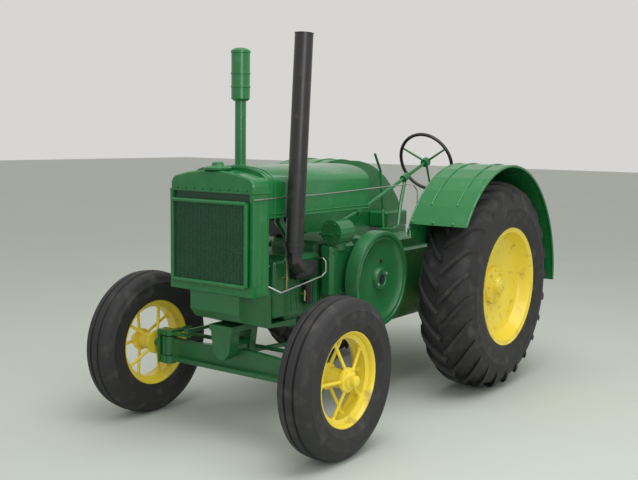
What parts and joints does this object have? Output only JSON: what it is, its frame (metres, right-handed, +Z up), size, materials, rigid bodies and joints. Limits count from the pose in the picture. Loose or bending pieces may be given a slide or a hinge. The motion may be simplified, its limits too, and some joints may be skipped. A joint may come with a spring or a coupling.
{
  "type": "vintage farm tractor",
  "caption": "Unstyled vintage farm tractor on rubber tyres: steered spoked front wheels, dished rear wheels, side flywheel, belt pulley, tall exhaust and air stacks.",
  "frame": {"origin": "on the floor below the middle of the tractor's length and width", "axes": "+Z up, -Y towards the nose, +X towards the tractor's left side"},
  "size_m": [1.684, 3.291, 2.1461],
  "materials": {
    "green_paint": "glossy green enamel over cast iron and sheet steel",
    "yellow_paint": "glossy yellow enamel, chipped at the bolts",
    "green_screen": "dark green painted mesh and core",
    "black_enamel": "satin black heat paint",
    "bright_steel": "bare machined steel",
    "tyre": "matt black rubber"
  },
  "bodies": {
    "chassis": {"air_stack": "green_paint", "carburettor": "black_enamel", "clutch_lever": "green_paint", "cylinder_block": "green_paint", "drawbar": "green_paint", "exhaust_manifold": "black_enamel", "exhaust_stack": "black_enamel", "fan_bracket": "green_paint", "fender_left": "green_paint", "fender_right": "green_paint", "front_axle": "green_paint", "front_support": "green_paint", "gear_lever": "green_paint", "governor_case": "green_paint", "hood": "green_paint", "lower_water_pipe": "bright_steel", "magneto": "black_enamel", "main_case": "green_paint", "platform": "green_paint", "pre_cleaner": "green_paint", "radiator_cap": "green_paint", "radiator_core": "green_screen", "radiator_frame": "green_paint", "radiator_screen": "green_screen", "radiator_top_tank": "green_paint", "radius_rod": "green_paint", "rear_axle_housing_left": "green_paint", "rear_axle_housing_right": "green_paint", "seat": "green_paint", "seat_spring": "green_paint", "shutter_rod": "bright_steel", "steering_gearbox": "green_paint", "steering_post": "green_paint", "toolbox": "green_paint", "water_outlet": "green_paint"},
    "crankshaft": {"belt_pulley": "green_paint", "crankshaft": "bright_steel", "flywheel": "green_paint"},
    "drag_link": {"drag_link": "green_paint"},
    "fan": {"fan": "green_paint"},
    "front_wheel_left": {"front_tyre_left": "tyre", "front_wheel_left": "yellow_paint"},
    "front_wheel_right": {"front_tyre_right": "tyre", "front_wheel_right": "yellow_paint"},
    "knuckle_left": {"knuckle_left": "green_paint"},
    "knuckle_right": {"knuckle_right": "green_paint"},
    "lower_steering_shaft": {"lower_steering_shaft": "green_paint"},
    "pitman_arm": {"pitman_arm": "green_paint"},
    "rear_wheel_left": {"rear_tyre_left": "tyre", "rear_wheel_left": "yellow_paint"},
    "rear_wheel_right": {"rear_tyre_right": "tyre", "rear_wheel_right": "yellow_paint"},
    "steering_shaft": {"steering_wheel": "black_enamel"},
    "tie_rod": {"tie_rod": "green_paint"}
  },
  "joints": [
    {"name": "steer_left", "type": "hinge", "parent": "chassis", "child": "knuckle_left", "pos_m": [0.5, -1.2305, 0.415], "axis": [0, 0, 1], "range_deg": [-28, 28]},
    {"name": "steer_right", "type": "hinge", "parent": "chassis", "child": "knuckle_right", "pos_m": [-0.5, -1.2305, 0.415], "axis": [0, 0, 1], "range_deg": [-28.5, 28.5]},
    {"name": "tie_rod_pin", "type": "hinge", "parent": "knuckle_left", "child": "tie_rod", "pos_m": [0.5, -1.0805, 0.456], "axis": [0, 0, 1], "range_deg": [-28.5, 28.5]},
    {"name": "drag_link_pin", "type": "hinge", "parent": "knuckle_right", "child": "drag_link", "pos_m": [-0.36, -1.2305, 0.512], "axis": [0, 0, 1], "range_deg": [-28.5, 28.5]},
    {"name": "pitman_shaft", "type": "hinge", "parent": "chassis", "child": "pitman_arm", "pos_m": [-0.343, -0.85, 0.75], "axis": [1, 0, 0], "range_deg": [-16.83, 16.83]},
    {"name": "lower_shaft_turn", "type": "hinge", "parent": "chassis", "child": "lower_steering_shaft", "pos_m": [-0.19, 0.31, 1.127], "axis": [0.0837, 0.9513, 0.2968], "range_deg": [-338, 338]},
    {"name": "steering_wheel_turn", "type": "hinge", "parent": "chassis", "child": "steering_shaft", "pos_m": [-0.15, 1.11, 1.436], "axis": [0.0466, 0.9318, 0.3599], "range_deg": [-338, 338]},
    {"name": "front_wheel_roll_left", "type": "hinge", "parent": "knuckle_left", "child": "front_wheel_left", "pos_m": [0.674, -1.2305, 0.415], "axis": [1, 0, 0], "continuous": true},
    {"name": "rear_wheel_roll_left", "type": "hinge", "parent": "chassis", "child": "rear_wheel_left", "pos_m": [0.651, 0.51, 0.673], "axis": [1, 0, 0], "continuous": true},
    {"name": "front_wheel_roll_right", "type": "hinge", "parent": "knuckle_right", "child": "front_wheel_right", "pos_m": [-0.674, -1.2305, 0.415], "axis": [1, 0, 0], "continuous": true},
    {"name": "rear_wheel_roll_right", "type": "hinge", "parent": "chassis", "child": "rear_wheel_right", "pos_m": [-0.651, 0.51, 0.673], "axis": [1, 0, 0], "continuous": true},
    {"name": "crankshaft_spin", "type": "hinge", "parent": "chassis", "child": "crankshaft", "pos_m": [0, -0.448, 0.8], "axis": [1, 0, 0], "continuous": true},
    {"name": "fan_spin", "type": "hinge", "parent": "chassis", "child": "fan", "pos_m": [0, -1.265, 1.035], "axis": [0, 1, 0], "continuous": true}
  ],
  "couplings": [
    {"joint": "steer_right", "follows": "steer_left", "ratio": 1},
    {"joint": "tie_rod_pin", "follows": "steer_left", "ratio": -1},
    {"joint": "drag_link_pin", "follows": "steer_left", "ratio": -1},
    {"joint": "pitman_shaft", "follows": "steer_left", "ratio": 0.5833},
    {"joint": "lower_shaft_turn", "follows": "steer_left", "ratio": 12},
    {"joint": "steering_wheel_turn", "follows": "steer_left", "ratio": 12}
  ]
}
